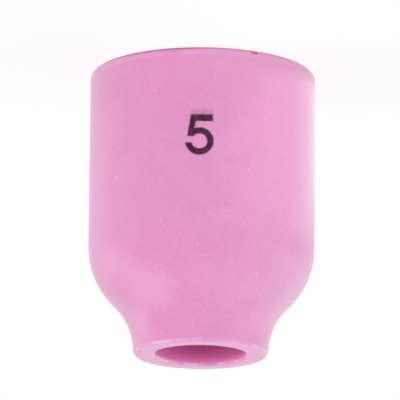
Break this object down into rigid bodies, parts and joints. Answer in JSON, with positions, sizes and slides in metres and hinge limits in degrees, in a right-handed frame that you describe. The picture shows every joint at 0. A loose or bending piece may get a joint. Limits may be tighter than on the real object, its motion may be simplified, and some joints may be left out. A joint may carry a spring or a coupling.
{
  "type": "tig torch gas cup",
  "caption": "Ceramic gas cup for a TIG torch: straight round body, rounded shoulder, short leaning neck with a flat lip, and an inside thread at the wide end.",
  "frame": {"origin": "centre of the wide rim's flat face, which the cup stands on", "axes": "+Z along the cup's axis, from the wide threaded rim to the small outlet; +X and +Y are equal round the axis, and the size mark faces -Y"},
  "size_m": [0.02, 0.02, 0.0254],
  "materials": {
    "alumina": "satin",
    "fired_mark": "matte"
  },
  "bodies": {
    "root": {"gas_cup": "alumina"}
  },
  "joints": []
}
